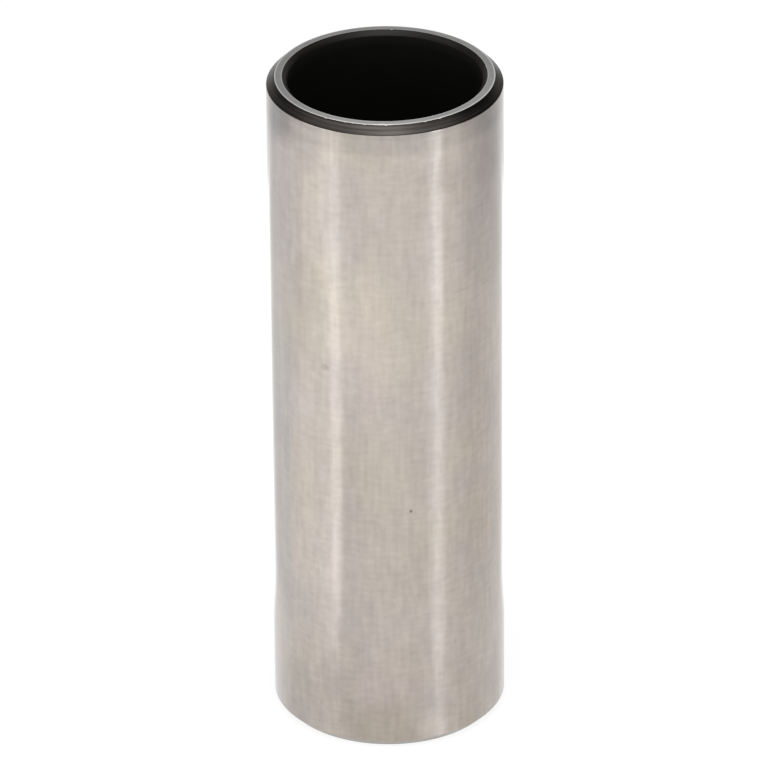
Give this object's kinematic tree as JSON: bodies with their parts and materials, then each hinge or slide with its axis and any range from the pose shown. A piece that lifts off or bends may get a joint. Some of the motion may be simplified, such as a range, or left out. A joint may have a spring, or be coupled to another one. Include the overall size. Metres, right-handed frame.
{
  "type": "piston pin",
  "caption": "Hollow cylindrical steel pin with a ground outer wall, a straight through bore and chamfered ends.",
  "frame": {"origin": "centre of the lower end face, on the pin's axis, where the pin stands", "axes": "+Z along the pin's axis from the lower end to the upper end; X and Y are across the pin and alike"},
  "size_m": [0.02, 0.02, 0.06],
  "materials": {
    "ground_steel": "finely ground outside, darker oxide in the chamfers and the bore"
  },
  "bodies": {
    "root": {"piston_pin": "ground_steel"}
  },
  "joints": []
}
